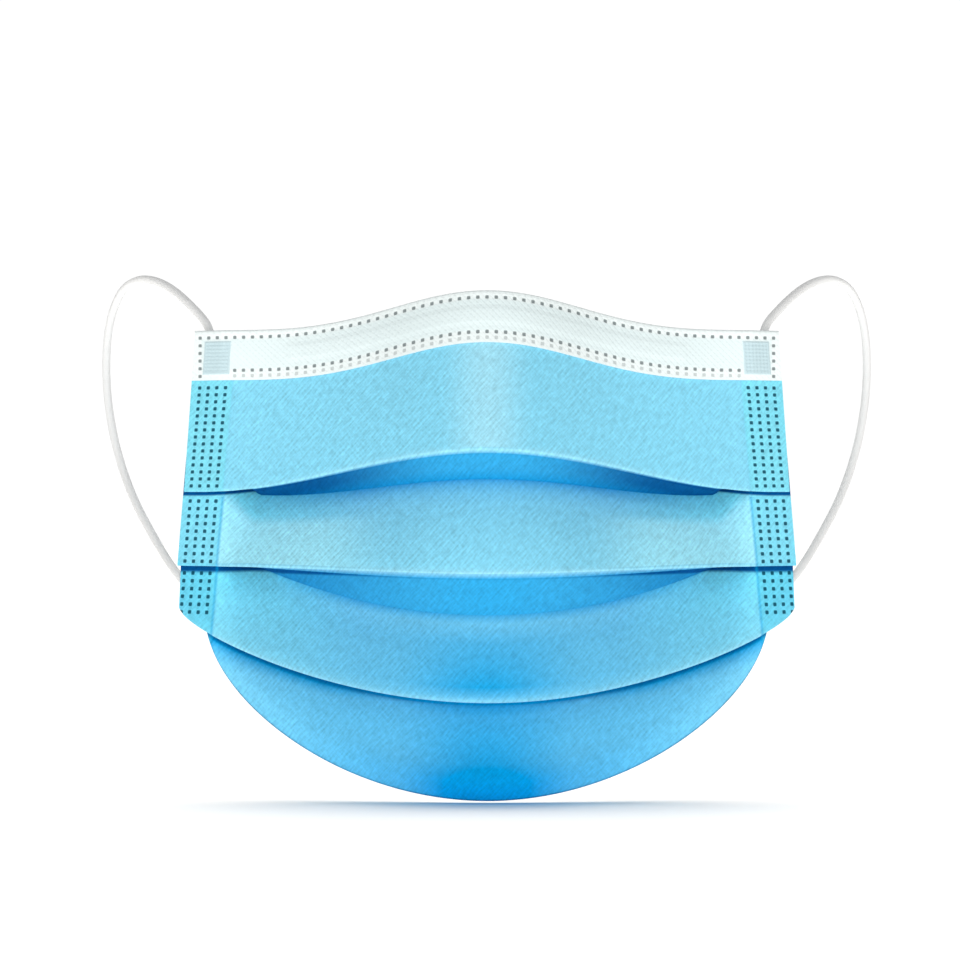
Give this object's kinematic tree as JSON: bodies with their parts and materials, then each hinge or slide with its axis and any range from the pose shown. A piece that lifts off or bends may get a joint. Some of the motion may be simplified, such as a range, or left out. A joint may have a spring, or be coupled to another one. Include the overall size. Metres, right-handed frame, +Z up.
{
  "type": "surgical face mask",
  "caption": "pleated nonwoven face mask opened as worn, with a folded band over the nose, spot-welded sides and an elastic loop for each ear",
  "frame": {"origin": "the nose seat: the middle of the nose band's inner face, which rests on the bridge of the nose", "axes": "+X across the face to the right as seen from the front, -Y the way the front faces, +Z up"},
  "size_m": [0.2116, 0.0907, 0.1392],
  "materials": {
    "pleated_panel": "matte spunbond nonwoven, embossed, with welded dots at the sides",
    "nose_band": "matte white nonwoven with rows of welded dots",
    "loop_patch": "nonwoven pressed flat by the weld",
    "ear_loop": "soft knitted elastic"
  },
  "bodies": {
    "root": {"pleated_panel": "pleated_panel", "nose_band": "nose_band", "loop_patch_left": "loop_patch", "loop_patch_right": "loop_patch", "ear_loop_left": "ear_loop", "ear_loop_right": "ear_loop"}
  },
  "joints": []
}
